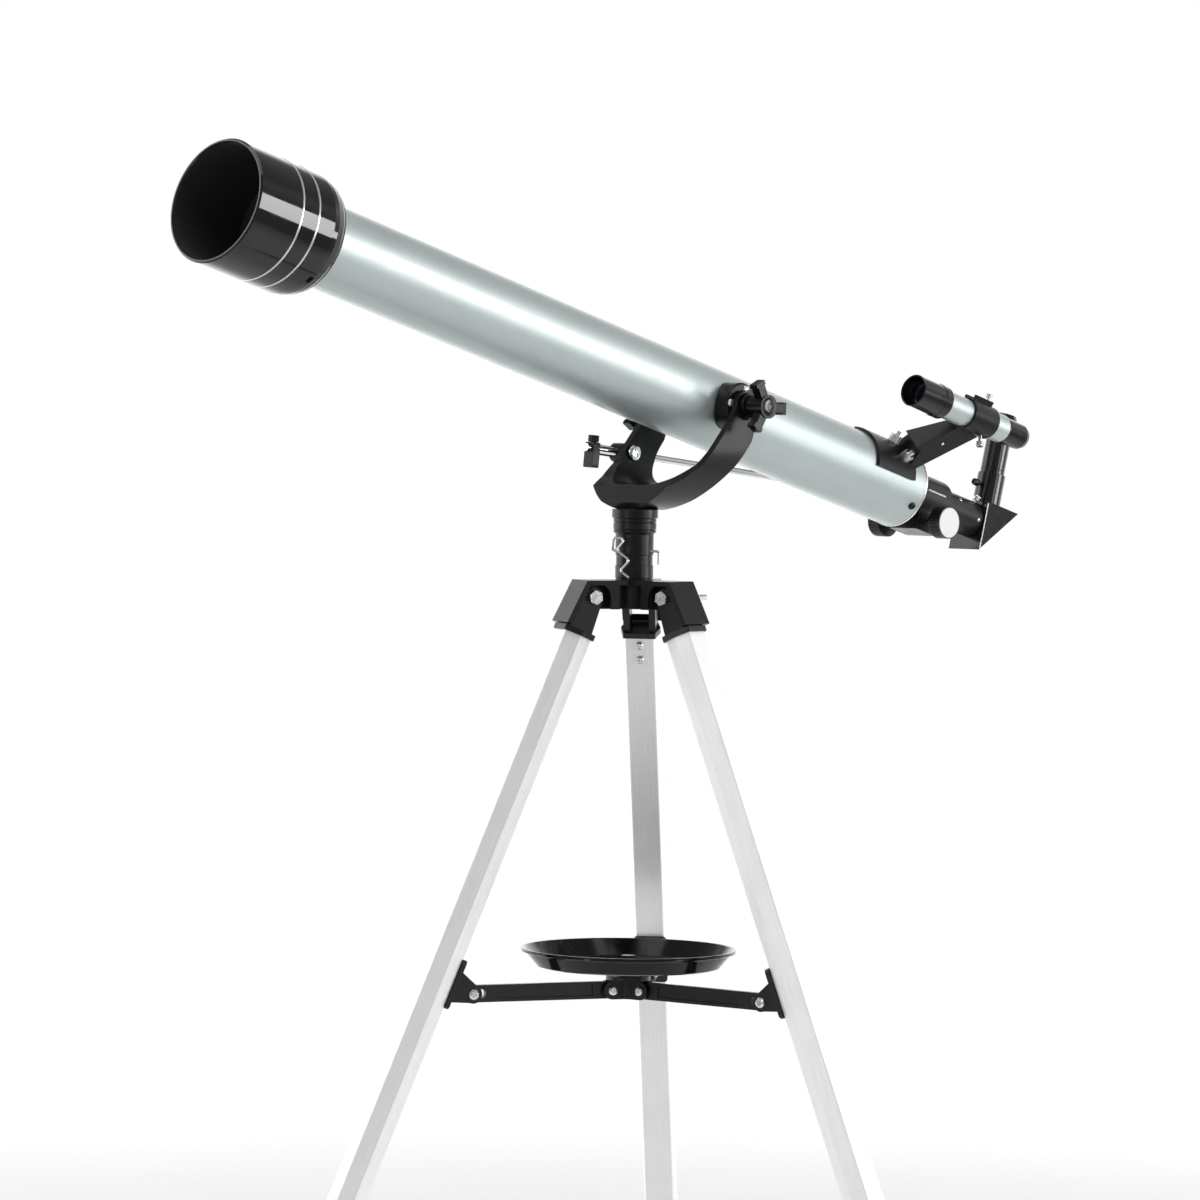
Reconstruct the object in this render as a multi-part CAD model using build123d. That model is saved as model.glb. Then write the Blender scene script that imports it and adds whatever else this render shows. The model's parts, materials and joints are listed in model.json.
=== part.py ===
from build123d import *
import os
from math import cos, pi, radians, sin

os.makedirs("parts", exist_ok=True)

# A small refracting telescope on a folding tripod. Millimetres and degrees, +Z up.
# The stand is drawn about its own upright axis, with the floor at z = 0, and the tube
# points towards -Y. Everything is shifted at the end, so that the origin is the middle
# of the bottom of the whole object's box.
AXIS_X = -60.0
AXIS_Y = -3.0

FIT = 0.05            # radial gap of a shaft in its bore
GAP = 0.4             # gap between pieces that pass each other

# Tripod
LEG_SPREAD = 22.7     # lean of a leg from upright
LEG_HEADINGS = {"a": 6.6, "b": 126.6, "c": 246.6}
LEG_PIVOT_RADIUS = 37.5
LEG_LENGTH = 690.0    # leg pivot to the floor, along a leg
PIVOT_Z = LEG_LENGTH * cos(radians(LEG_SPREAD))
LEG_WALL = 1.5
UPPER_LEG_TOP = -28.6
UPPER_LEG_END = -600.0
LOWER_LEG_TOP = -300.0
LOWER_LEG_END = -668.0
CAP_TOP = -26.6       # upper and lower edges of the black cap on top of a leg
CAP_END = -31.0
CAP_SCREWS_Z = (-37.5, -49.5)
COLLAR_TOP = -584.0
COLLAR_END = -614.0
LOCK_SCREW_Z = -607.0
PIVOT_BOLT_RADIUS = 2.5
CHEEK_FACE = 12.4     # half the width over a leg's two cheeks

# Brace and tray
BRACE_Z = PIVOT_Z - 299.0
HUB_PIN_RADIUS = 15.0
BRACKET_PIN_RADIUS = 128.5
BRACE_PIN = 2.0
ARM_HEIGHT = 13.0
ARM_THICKNESS = 5.0
SLOT_TRAVEL = 8.2     # how far the bracket's pin runs along an arm as the legs fold
SLOT_HALF_WIDTH = 3.35
TRAY_RADIUS = 82.1
TRAY_HEIGHT = 14.0
TRAY_Z = BRACE_Z + 17.0

# Column and yoke
COLUMN_RADIUS = 14.5
HOOD_HALF_WIDTH = 15.4
COLUMN_TOP = PIVOT_Z + 59.6
SPINDLE_RADIUS = 8.0
CLIP_Z = PIVOT_Z + 35.0
CLIP_HEADING = 43.9   # the clip's straight leg lies across the column at this heading
CLIP_OFFSET = 7.2     # how far the straight leg passes from the column's axis
CLIP_WIRE = 0.95
YOKE_BASE_Z = PIVOT_Z + 60.0
YOKE_INNER = 43.0     # half the gap between the yoke's arms
YOKE_OUTER = 48.5
ALTITUDE_Y = 72.4     # the altitude axis lies along X here
ALTITUDE_Z = PIVOT_Z + 145.7
KNOB_SCREW = 3.0
STAR_REACH = 20.5
SPOT_FACE_RADIUS = 6.8

# Slow-motion rod, on the -X side
ROD_X = -54.5
ROD_RADIUS = 3.0
SWIVEL_Y = 41.0
SWIVEL_Z = PIVOT_Z + 108.7
ROD_PIN_Y = 200.0     # where the rod meets the tube, from the altitude axis, along the tube
ROD_PIN_Z = -8.0
ROD_SLOPE = 6.12      # fall of the rod towards the back
ROD_LENGTH = 223.37   # swivel to tube pin
ROD_FRONT = 40.0      # rod ahead of the swivel
CLAMP_AHEAD = 32.0    # clamp block ahead of the swivel

# Optical tube, in its own frame: +Y to the back from the altitude axis, +Z square to it
TUBE_PITCH = 15.4
TUBE_RADIUS = 31.0
TUBE_BORE = 30.0
TUBE_FRONT = -429.0
TUBE_BACK = 240.0
SCREW_Y = TUBE_BACK - 9.0           # the focuser's three screws through the tube
SCREW_TURNS = (-31, 89, 209)
SHADE_RADIUS = 45.9
SHADE_FRONT = -523.0
BOSS_RADIUS = 18.2
BOSS_FACE = 42.4

# Focuser
PINION_Y = TUBE_BACK + 26.8
PINION_Z = -20.0
PINION_TEETH = 11
GEAR_MODULE = 0.8
PINION_PITCH_RADIUS = PINION_TEETH * GEAR_MODULE / 2
TOOTH_PITCH = pi * GEAR_MODULE
ADDENDUM = 0.55
DEDENDUM = 0.75
TOOTH_WIDTH = 0.86    # tooth thickness on the pitch line, under half a pitch for backlash
DRAWTUBE_RADIUS = 14.5
DRAWTUBE_BORE = 13.0
DRAWTUBE_FRONT = 205.0
DRAWTUBE_BACK = TUBE_BACK + 93.0
BARREL_BACK = 288.0
FOCUS_KNOB_RADIUS = 12.8
FOCUS_KNOB_X = 26.5   # inner face of a knob's grip
PINION_SHAFT = FOCUS_KNOB_X + 9.0

# Diagonal and eyepiece
DIAGONAL_FRONT = DRAWTUBE_BACK + 0.3
DIAGONAL_BACK = 373.0
DIAGONAL_TOP = 15.5
DIAGONAL_BOTTOM = -25.0
DIAGONAL_HALF_WIDTH = 16.0
EYE_Y = 350.0
SOCKET_TOP = 42.0
ERECTOR_RADIUS = 10.0
ERECTOR_TOP = 74.0
EYEPIECE_TOP = 92.0

# Finder, on the shoulder of the tube
FINDER_ANGLE = 47.5   # from +X towards +Z, about the tube
FINDER_OFFSET = 85.0
FINDER_X = FINDER_OFFSET * cos(radians(FINDER_ANGLE))
FINDER_Z = FINDER_OFFSET * sin(radians(FINDER_ANGLE))
FINDER_RADIUS = 11.2
FINDER_SCREW_Y = 258.0
FINDER_SCREW_TURNS = (80, 180, 280)

LOW = (Align.CENTER, Align.CENTER, Align.MIN)

nodes = {}


# ---------------------------------------------------------------- small shape helpers
def together(*pieces):
    """Separate solids that make one node."""
    return Part() + list(pieces)


def bar(radius, start, end):
    """A round bar between two points."""
    run = Vector(*end) - Vector(*start)
    return Plane(origin=start, z_dir=run).location * Cylinder(radius, run.length, align=LOW)


def block(x, y, z):
    """A box from pairs of lowest and highest coordinates."""
    size = Box(x[1] - x[0], y[1] - y[0], z[1] - z[0], align=(Align.MIN,) * 3)
    return Pos(x[0], y[0], z[0]) * size


def turned(*profile):
    """A solid of revolution about Z, from an outline of (radius, height) points."""
    outline = Polyline(*[(r, 0, z) for r, z in profile], close=True)
    return revolve(make_face(outline.edges()), Axis.Z)


def turned_along_y(*profile):
    """A solid of revolution about Y, from an outline of (radius, y) points."""
    return Rot(-90, 0, 0) * turned(*profile)


def plate_x(points, x):
    """A plate square to X between two x values, from its (y, z) outline."""
    outline = Polyline(*[(x[0], y, z) for y, z in points], close=True)
    return extrude(make_face(outline.edges()), x[1] - x[0], dir=(1, 0, 0))


def plate_y(points, y):
    """A plate square to Y between two y values, from its (x, z) outline."""
    outline = Polyline(*[(x, y[0], z) for x, z in points], close=True)
    return extrude(make_face(outline.edges()), y[1] - y[0], dir=(0, 1, 0))


def pan_screw(radius, height, shank, depth):
    """A cross-head screw standing on the XY plane, head up, shank down."""
    head = turned((0, 0), (radius, 0), (radius, 0.45 * height), (0.6 * radius, height), (0, height))
    for turn in (0, 90):
        head -= Pos(0, 0, height) * Rot(0, 0, turn) * Box(1.1 * radius, 0.24 * radius, height)
    return head + Pos(0, 0, -depth) * Cylinder(shank, depth, align=LOW)


def knurled(radius, height, ribs, depth=0.5):
    """A grip standing on the XY plane, with ribs up its side."""
    grip = Cylinder(radius, height, align=LOW)
    notches = [
        Rot(0, 0, 360 * i / ribs) * Pos(radius, 0, 0) * Cylinder(depth, height, align=LOW)
        for i in range(ribs)
    ]
    return grip - notches


# ---------------------------------------------------------------- tripod
def leg_frame(heading):
    """The frame of a leg: origin on its pivot, -Z down the leg, +X outwards."""
    turn = Rot(0, 0, heading)
    return turn * Pos(LEG_PIVOT_RADIUS, 0, PIVOT_Z) * Rot(0, -LEG_SPREAD, 0)


def leg_section(grow):
    """The six-sided section of a leg, grown by a margin."""
    outline = Polyline((11, -10), (-1, -13.5), (-11, -11), (-11, 11), (-1, 13.5), (11, 10), close=True)
    section = make_face(outline.edges())
    if grow:
        section = offset(section, amount=grow, kind=Kind.INTERSECTION)
    return fillet(section.vertices(), 1.2)


def leg_run(grow, top, end):
    """A solid length of leg section between two heights down the leg."""
    return extrude(Pos(0, 0, end) * leg_section(grow), top - end)


def leg_clevis():
    cheek = plate_y([(-7.2, 0), (-9.3, CAP_TOP - 1), (9.3, CAP_TOP - 1), (7.2, 0)], (7.4, CHEEK_FACE))
    cheek += bar(7.2, (0, 7.4, 0), (0, CHEEK_FACE, 0))
    cap = leg_run(1.8, CAP_TOP, CAP_END) - leg_run(0, UPPER_LEG_TOP, CAP_END)
    plug = leg_run(-LEG_WALL - 0.05, UPPER_LEG_TOP, -70)
    clevis = cap + plug + cheek + mirror(cheek, Plane.XZ)
    return clevis - bar(PIVOT_BOLT_RADIUS, (0, -20, 0), (0, 20, 0))


def upper_leg():
    tube = leg_run(0, UPPER_LEG_TOP, UPPER_LEG_END) - leg_run(-LEG_WALL, UPPER_LEG_TOP, UPPER_LEG_END)
    return tube - [bar(1.4, (-13, 0, z), (-9, 0, z)) for z in CAP_SCREWS_Z]


def lower_leg():
    outer = leg_run(-LEG_WALL - GAP, LOWER_LEG_TOP, LOWER_LEG_END)
    return outer - leg_run(-LEG_WALL - GAP - 1.4, LOWER_LEG_TOP, LOWER_LEG_END)


def foot():
    """Rubber foot in the leg's frame, before it is cut level with the floor."""
    cup = leg_run(2.0, -640, -672) - leg_run(-LEG_WALL - GAP, -640, LOWER_LEG_END)
    tip = Pos(0, 0, -704) * turned((0, 0), (8, 0), (10, 6), (12.6, 34), (0, 34))
    return cup + tip


def leg_collar():
    """Black collar at the foot of the upper leg, with the lock screw's boss."""
    skirt = leg_run(2.4, COLLAR_TOP, COLLAR_END) - leg_run(0, COLLAR_TOP, UPPER_LEG_END)
    skirt -= leg_run(-LEG_WALL, UPPER_LEG_END, COLLAR_END)
    boss = bar(7, (10.5, 0, LOCK_SCREW_Z), (18, 0, LOCK_SCREW_Z))
    collar = skirt + (boss & block((9.6, 30), (-10, 10), (COLLAR_END, COLLAR_TOP)))
    return collar - bar(2.5 + FIT, (5, 0, LOCK_SCREW_Z), (20, 0, LOCK_SCREW_Z))


def leg_lock_screw():
    """Thumb screw that pinches the lower leg."""
    shank = bar(2.5, (9.4, 0, LOCK_SCREW_Z), (20, 0, LOCK_SCREW_Z))
    hub = bar(6, (18 + GAP, 0, LOCK_SCREW_Z), (26, 0, LOCK_SCREW_Z))
    wing = Pos(26, 0, LOCK_SCREW_Z) * Box(12, 4, 26)
    wing = fillet(wing.edges().filter_by(Axis.Y), 5)
    return shank + hub + (wing & block((20, 40), (-5, 5), (LOCK_SCREW_Z - 20, LOCK_SCREW_Z + 20)))


def brace_bracket(pin):
    """Plate on the inner face of a leg with two ears, in the leg's frame."""
    x, z = pin
    plate = block((-14.4, -11), (-13, 13), (z - 18, z + 21))
    plate = fillet(plate.edges().filter_by(Axis.X), 3)
    ear = plate_y([(x, z + 7), (-14, z + 13), (-14, z - 13), (x, z - 7)], (2.9, 5.9))
    ear += bar(7, (x, 2.9, z), (x, 5.9, z))
    ears = ear + mirror(ear, Plane.XZ)
    return plate + ears - bar(BRACE_PIN, (x, -10, z), (x, 10, z))


def leg_fasteners(pin, head_side):
    """Pivot bolt and nut, two cap screws and the bracket's rivet, in the leg's frame."""
    head = Rot(-90, 0, 0) * extrude(RegularPolygon(5.6, 6), 4.2)
    nut = Rot(90, 0, 0) * extrude(RegularPolygon(5.2, 6), 4.0)
    shank = bar(PIVOT_BOLT_RADIUS, (0, -40, 0), (0, CHEEK_FACE + 1, 0))
    bolt = Pos(0, CHEEK_FACE, 0) * head + Pos(0, -CHEEK_FACE, 0) * nut + shank
    if head_side < 0:
        bolt = mirror(bolt, Plane.XZ)
    pieces = [bolt]
    for z in CAP_SCREWS_Z:
        pieces.append(Pos(-11, 0, z) * Rot(0, -90, 0) * pan_screw(3.4, 2.0, 1.4, 1.4))
    x, z = pin
    rivet = bar(BRACE_PIN, (x, -5.9, z), (x, 5.9, z))
    for side in (-1, 1):
        button = Pos(x, 5.9 * side, z) * Rot(-90 * side, 0, 0)
        rivet += button * turned((0, 0), (4.2, 0), (3.9, 1.2), (2.4, 2.0), (0, 2.0))
    pieces.append(rivet)
    return together(*pieces)


def brace_arm():
    """Flat arm from the hub's pin, with a slot for the bracket's pin, heading along +X."""
    half = ARM_HEIGHT / 2
    z = BRACE_Z
    y = (-ARM_THICKNESS / 2, ARM_THICKNESS / 2)
    arm = block((HUB_PIN_RADIUS, BRACKET_PIN_RADIUS), y, (z - half, z + half))
    for x in (HUB_PIN_RADIUS, BRACKET_PIN_RADIUS):
        arm += bar(half, (x, y[0], z), (x, y[1], z))
    for side in (-1, 1):
        panel = block((30, 106), (1.6, 3), (z - 4, z + 4))
        arm -= panel if side > 0 else mirror(panel, Plane.XZ)
    slot_start = BRACKET_PIN_RADIUS - SLOT_TRAVEL
    slot = block((slot_start, BRACKET_PIN_RADIUS), (-5, 5), (z - SLOT_HALF_WIDTH, z + SLOT_HALF_WIDTH))
    for x in (slot_start, BRACKET_PIN_RADIUS):
        slot += bar(SLOT_HALF_WIDTH, (x, -5, z), (x, 5, z))
    return arm - slot - bar(BRACE_PIN + FIT, (HUB_PIN_RADIUS, -5, z), (HUB_PIN_RADIUS, 5, z))


def brace_hub():
    z = BRACE_Z
    hub = Pos(0, 0, z - 7) * Cylinder(8, 24, align=LOW)
    hub += Pos(0, 0, z + 7.2) * Cylinder(17, 3.4, align=LOW)
    for heading in LEG_HEADINGS.values():
        lug = block((3, HUB_PIN_RADIUS), (2.9, 5.9), (z - 7, z + 7.4))
        lug += bar(7, (HUB_PIN_RADIUS, 2.9, z), (HUB_PIN_RADIUS, 5.9, z))
        pair = lug + mirror(lug, Plane.XZ)
        hub += Rot(0, 0, heading) * pair
        throat = block((HUB_PIN_RADIUS - 7.2, 30), (-2.9, 2.9), (z - 7.1, z + 7.1))
        hub -= Rot(0, 0, heading) * throat
        hub -= Rot(0, 0, heading) * bar(BRACE_PIN, (HUB_PIN_RADIUS, -10, z), (HUB_PIN_RADIUS, 10, z))
    return hub - Pos(0, 0, z - 8) * Cylinder(3 + FIT, 30, align=LOW)


def brace_hub_pins():
    z = BRACE_Z
    pins = []
    for heading in LEG_HEADINGS.values():
        pin = bar(BRACE_PIN, (HUB_PIN_RADIUS, -5.9, z), (HUB_PIN_RADIUS, 5.9, z))
        for side in (-1, 1):
            button = Pos(HUB_PIN_RADIUS, 5.9 * side, z) * Rot(-90 * side, 0, 0)
            pin += button * turned((0, 0), (3.9, 0), (3.6, 1.2), (2.2, 1.9), (0, 1.9))
        pins.append(Rot(0, 0, heading) * pin)
    return together(*pins)


def accessory_tray():
    rim = TRAY_RADIUS
    top = TRAY_HEIGHT
    dish = turned(
        (3 + FIT, 0), (68, 0), (70.5, 0.9), (rim - 3.2, top - 3.2), (rim, top - 2), (rim, top),
        (rim - 2.6, top), (rim - 4.4, top - 2), (69, 2.2), (67.5, 1.8), (11, 1.8), (9, 4.2),
        (3 + FIT, 4.2),
    )
    return Pos(0, 0, TRAY_Z) * dish


def tray_screw():
    head = Pos(0, 0, TRAY_Z + 4.3) * knurled(5.6, 4.6, 20)
    return head + Pos(0, 0, TRAY_Z - 14) * Cylinder(3, 20, align=LOW)


def tripod_head():
    """Column with three arms, each ending in a hood over its leg. Hood b has a slot in it."""
    z = PIVOT_Z
    head = Pos(0, 0, z - 9) * Cylinder(COLUMN_RADIUS, COLUMN_TOP - z + 9, align=LOW)
    head += Pos(0, 0, z + 47.5) * turned(
        (0, 0), (COLUMN_RADIUS, 0), (16.4, 2), (16.4, COLUMN_TOP - z - 47.5), (0, COLUMN_TOP - z - 47.5)
    )
    ring_groove = turned((15.8, 0), (18, 0), (18, 0.9), (15.8, 0.9))
    for height in (50.6, 56.2):
        head -= Pos(0, 0, z + height) * ring_groove
    head -= Pos(0, 0, z + 24) * turned((13.9, 0), (16, 0), (16, 8), (13.9, 8))
    head -= Pos(0, 0, z + 13.4) * turned((13.9, 0), (16, 0), (16, 1), (13.9, 1))
    half = HOOD_HALF_WIDTH
    wall_section = [
        (41.5, z + 9.2), (42.5, z + 12.8), (44.5, z + 12.8), (60.5, z - 18.5), (57.1, z - 20),
    ]
    for name, heading in LEG_HEADINGS.items():
        web = block((8, LEG_PIVOT_RADIUS), (-7, 7), (z - 9, z + 12.8))
        web += bar(8.6, (LEG_PIVOT_RADIUS, -7, z), (LEG_PIVOT_RADIUS, 7, z))
        roof = block((11, 43.5), (-half, half), (z + 9.2, z + 12.8))
        wall = plate_y(wall_section, (-half, half))
        if name == "b":
            wall -= block((40, 70), (-11, 11), (z - 15, z - 8.4))
        side = plate_y([(18, z + 10), (18, z - 9), (53, z - 9), (43.5, z + 10)], (13.8, half))
        side -= bar(12.4, (LEG_PIVOT_RADIUS, 13, z - 1), (LEG_PIVOT_RADIUS, 19, z - 1))
        side -= block((LEG_PIVOT_RADIUS - 12.4, LEG_PIVOT_RADIUS + 12.4), (13, 19), (z - 10, z - 1))
        arm = web + roof + wall + side + mirror(side, Plane.XZ)
        bolt_hole = bar(PIVOT_BOLT_RADIUS + FIT, (LEG_PIVOT_RADIUS, -8, z), (LEG_PIVOT_RADIUS, 8, z))
        head += Rot(0, 0, heading) * (arm - bolt_hole)
    head -= Pos(0, 0, z + 8) * Cylinder(SPINDLE_RADIUS + FIT, 60, align=LOW)
    return head - clip_leg(1.0)


def clip_leg(radius):
    """The straight leg of the retaining clip, across the column."""
    leg = bar(radius, (-19, -CLIP_OFFSET, CLIP_Z), (20, -CLIP_OFFSET, CLIP_Z))
    return Rot(0, 0, CLIP_HEADING) * leg


def retaining_clip():
    """Bent wire that keeps the yoke's spindle in the column."""
    z = CLIP_Z
    route = [
        (18.5, -CLIP_OFFSET, z - 10), (18.5, -CLIP_OFFSET, z), (-17, -CLIP_OFFSET, z), (-16, -13, z + 10),
        (-7, -18, z + 9.5), (-13.5, -17, z + 1), (-4, -18.5, z - 7), (-11, -18, z - 15), (-4, -19, z - 20),
    ]
    path = FilletPolyline(*route, radius=2.2)
    wire = sweep(Plane(origin=route[0], z_dir=(0, 0, 1)) * Circle(CLIP_WIRE), path=path)
    return Rot(0, 0, CLIP_HEADING) * wire


def build_tripod():
    pin_rise = BRACE_Z - PIVOT_Z
    pin_out = BRACKET_PIN_RADIUS - LEG_PIVOT_RADIUS
    lean = radians(LEG_SPREAD)
    pin = (pin_out * cos(lean) + pin_rise * sin(lean), pin_rise * cos(lean) - pin_out * sin(lean))
    head_sides = {"a": -1, "b": 1, "c": 1}
    floor_cut = Box(900, 900, 60, align=(Align.CENTER, Align.CENTER, Align.MAX))
    for name, heading in LEG_HEADINGS.items():
        frame = leg_frame(heading)
        nodes[f"leg_clevis_{name}"] = frame * leg_clevis()
        nodes[f"upper_leg_{name}"] = frame * upper_leg()
        nodes[f"leg_fasteners_{name}"] = frame * leg_fasteners(pin, head_sides[name])
        nodes[f"brace_bracket_{name}"] = frame * brace_bracket(pin)
        nodes[f"leg_collar_{name}"] = frame * leg_collar()
        nodes[f"lower_leg_{name}"] = frame * lower_leg()
        nodes[f"foot_{name}"] = frame * foot() - floor_cut
        nodes[f"leg_lock_screw_{name}"] = frame * leg_lock_screw()
        nodes[f"brace_arm_{name}"] = Rot(0, 0, heading) * brace_arm()
    nodes["tripod_head"] = tripod_head()
    nodes["retaining_clip"] = retaining_clip()
    nodes["brace_hub"] = brace_hub()
    nodes["brace_hub_pins"] = brace_hub_pins()
    nodes["accessory_tray"] = accessory_tray()
    nodes["tray_screw"] = tray_screw()


# ---------------------------------------------------------------- yoke
def yoke():
    """U-shaped casting whose arms sweep back from the column to the altitude axis."""
    z = PIVOT_Z
    side_view = plate_x(
        [
            (-12, z + 72), (-9, z + 66), (24, z + 66), (34, z + 73), (47, z + 86), (62, z + 101),
            (77, z + 119), (84, z + 138), (62, z + 152), (54, z + 134), (38, z + 116), (24, z + 101),
            (8, z + 91), (-7, z + 84),
        ],
        (-60, 60),
    )
    front_view = block((-YOKE_OUTER, YOKE_OUTER), (-60, 140), (z + 114, z + 160))
    front_view += bar(YOKE_OUTER, (0, -60, z + 114), (0, 140, z + 114))
    opening = block((-YOKE_INNER, YOKE_INNER), (-60, 140), (z + 115, z + 170))
    opening += block((-13, 13), (-60, 140), (z + 85, z + 116))
    for x in (-13, 13):
        opening += bar(YOKE_INNER - 13, (x, -60, z + 115), (x, 140, z + 115))
    casting = side_view & (front_view - opening)
    for side in (-1, 1):
        start, end = sorted((side * YOKE_INNER, side * YOKE_OUTER))
        casting += bar(12.5, (start, ALTITUDE_Y, ALTITUDE_Z), (end, ALTITUDE_Y, ALTITUDE_Z))
    casting += Pos(0, 0, YOKE_BASE_Z) * Cylinder(17.5, 6.5, align=LOW)
    spindle = Pos(0, 0, z + 12) * Cylinder(SPINDLE_RADIUS, 50, align=LOW)
    spindle -= Pos(0, 0, CLIP_Z - 2) * turned((6, 0), (9, 0), (9, 4), (6, 4))
    casting += spindle
    casting -= bar(KNOB_SCREW + FIT, (-60, ALTITUDE_Y, ALTITUDE_Z), (60, ALTITUDE_Y, ALTITUDE_Z))
    casting -= bar(SPOT_FACE_RADIUS, (-YOKE_INNER, SWIVEL_Y, SWIVEL_Z), (-30, SWIVEL_Y, SWIVEL_Z))
    return casting - bar(2.5 + FIT, (-60, SWIVEL_Y, SWIVEL_Z), (-30, SWIVEL_Y, SWIVEL_Z))


def altitude_knob():
    """Three-armed knob on the +X side, with the screw that carries the tube."""
    axis_at = (ALTITUDE_Y, ALTITUDE_Z)
    knob = bar(KNOB_SCREW, (35, *axis_at), (56, *axis_at))
    knob += bar(10.5, (YOKE_OUTER + GAP, *axis_at), (53, *axis_at))
    knob += bar(9, (53, *axis_at), (70, *axis_at))
    for turn in (-4, 116, 236):
        arm = block((61.5, 69), (0, STAR_REACH), (-3.6, 3.6))
        arm += block((61.5, 69), (STAR_REACH - 3.4, STAR_REACH), (-4.8, 4.8))
        knob += Pos(0, *axis_at) * Rot(turn, 0, 0) * arm
    return knob


def rod_frame():
    """The frame of the slow-motion rod: origin in its swivel, +Y down the rod to the tube."""
    return Pos(ROD_X, SWIVEL_Y, SWIVEL_Z) * Rot(-ROD_SLOPE, 0, 0)


def rod_swivel_clamp():
    """Swivel on the yoke's arm, with a bar and a clamp block ahead of it, in the rod's frame."""
    inner = -YOKE_OUTER - GAP - ROD_X
    head = -YOKE_INNER + GAP - ROD_X
    swivel = bar(7.5, (-6.5, 0, 0), (inner, 0, 0))
    swivel += bar(2.5, (inner - 1, 0, 0), (head + 1, 0, 0))
    swivel += bar(6.0, (head, 0, 0), (head + 2.2, 0, 0))
    link = block((-6.5, -3.9), (-CLAMP_AHEAD, 0), (-4, 4))
    clamp = block((-5.2, 4.4), (-CLAMP_AHEAD - 3.6, -CLAMP_AHEAD + 3.6), (-15, 4.4))
    clamp = fillet(clamp.edges().filter_by(Axis.Y), 1.2)
    bore = bar(ROD_RADIUS + 0.1, (0, -60, 0), (0, 20, 0))
    screw_hole = bar(2 + FIT, (0, -CLAMP_AHEAD, 0), (0, -CLAMP_AHEAD, 8))
    return swivel + link + clamp - bore - screw_hole


def rod_clamp_screw():
    """Thumb screw on top of the clamp block, in the rod's frame."""
    shank = bar(2, (0, -CLAMP_AHEAD, ROD_RADIUS + 0.3), (0, -CLAMP_AHEAD, 6))
    return shank + Pos(0, -CLAMP_AHEAD, 4.4 + GAP) * knurled(4.2, 5, 14, 0.5)


def slow_motion_rod():
    """Plain rod with an eye that hangs loose on the tube's pin, in the rod's frame."""
    rod = bar(ROD_RADIUS, (0, -ROD_FRONT, 0), (0, ROD_LENGTH - 7, 0))
    rod += bar(9, (-2.2, ROD_LENGTH, 0), (2.2, ROD_LENGTH, 0))
    return rod - bar(6.1, (-5, ROD_LENGTH, 0), (5, ROD_LENGTH, 0))


def build_yoke():
    nodes["yoke"] = yoke()
    knob = altitude_knob()
    nodes["altitude_knob_left"] = knob
    nodes["altitude_knob_right"] = mirror(knob, Plane.YZ)
    nodes["rod_swivel_clamp"] = rod_frame() * rod_swivel_clamp()
    nodes["rod_clamp_screw"] = rod_frame() * rod_clamp_screw()
    nodes["slow_motion_rod"] = rod_frame() * slow_motion_rod()


# ---------------------------------------------------------------- optical tube
def tube_frame():
    return Pos(0, ALTITUDE_Y, ALTITUDE_Z) * Rot(-TUBE_PITCH, 0, 0)


def on_tube(angle, y, radius=TUBE_RADIUS):
    """A frame on the tube's skin with +Z outwards; the angle runs from +X towards +Z."""
    place = Plane(
        origin=(radius * cos(radians(angle)), y, radius * sin(radians(angle))),
        x_dir=(0, 1, 0),
        z_dir=(cos(radians(angle)), 0, sin(radians(angle))),
    )
    return place.location


def main_tube():
    tube = turned_along_y(
        (TUBE_BORE, TUBE_FRONT), (TUBE_RADIUS, TUBE_FRONT), (TUBE_RADIUS, TUBE_BACK), (TUBE_BORE, TUBE_BACK)
    )
    holes = [on_tube(turn, SCREW_Y, TUBE_BORE) * Cylinder(1.5, 6) for turn in SCREW_TURNS]
    return tube - holes


def altitude_bosses():
    """Round saddles on both sides of the tube that take the altitude screws."""
    boss = bar(BOSS_RADIUS, (20, 0, 0), (BOSS_FACE, 0, 0))
    boss = chamfer(boss.faces().sort_by(Axis.X)[-1].edges(), 1.5)
    boss -= bar(TUBE_RADIUS, (0, -40, 0), (0, 40, 0))
    boss -= bar(KNOB_SCREW + FIT, (33, 0, 0), (60, 0, 0))
    return together(boss, mirror(boss, Plane.YZ))


def rod_bracket():
    """Post on the -X side of the tube with the pin that the rod's eye hangs on."""
    y, z = ROD_PIN_Y, ROD_PIN_Z
    shoulder = ROD_X + ROD_RADIUS + GAP
    foot_plate = block((-33.5, -20), (y - 15, y + 15), (z - 9, z + 9))
    post = bar(7.5, (shoulder, y, z), (-22, y, z))
    base = foot_plate + post - bar(TUBE_RADIUS, (0, y - 40, 0), (0, y + 40, 0))
    far_side = ROD_X - ROD_RADIUS - GAP
    pin = bar(1.8, (far_side - 1, y, z), (shoulder + 1, y, z))
    head = bar(7.6, (far_side - 2, y, z), (far_side, y, z))
    return base + pin + head


def lens_cell():
    front = TUBE_FRONT
    return turned_along_y(
        (27, front + 14), (TUBE_BORE - 0.02, front + 14), (TUBE_BORE - 0.02, front), (33.6, front),
        (33.6, front - 2.4), (33.0, front - 2.4), (33.0, front - 22), (30.1, front - 22),
        (30.1, front - 6), (27, front - 6),
    )


def objective_lenses():
    """The two cemented elements of the 60 mm objective."""
    back = TUBE_FRONT - 6.3
    front_element = turned((0, 6.2), (30, 6.2), (30, 9.0), (22, 10.7), (12, 11.9), (0, 12.4))
    rear_element = turned((0, 0), (30, 0), (30, 6.0), (0, 6.0))
    lay = Pos(0, back, 0) * Rot(90, 0, 0)
    return together(lay * front_element, lay * rear_element)


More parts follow.
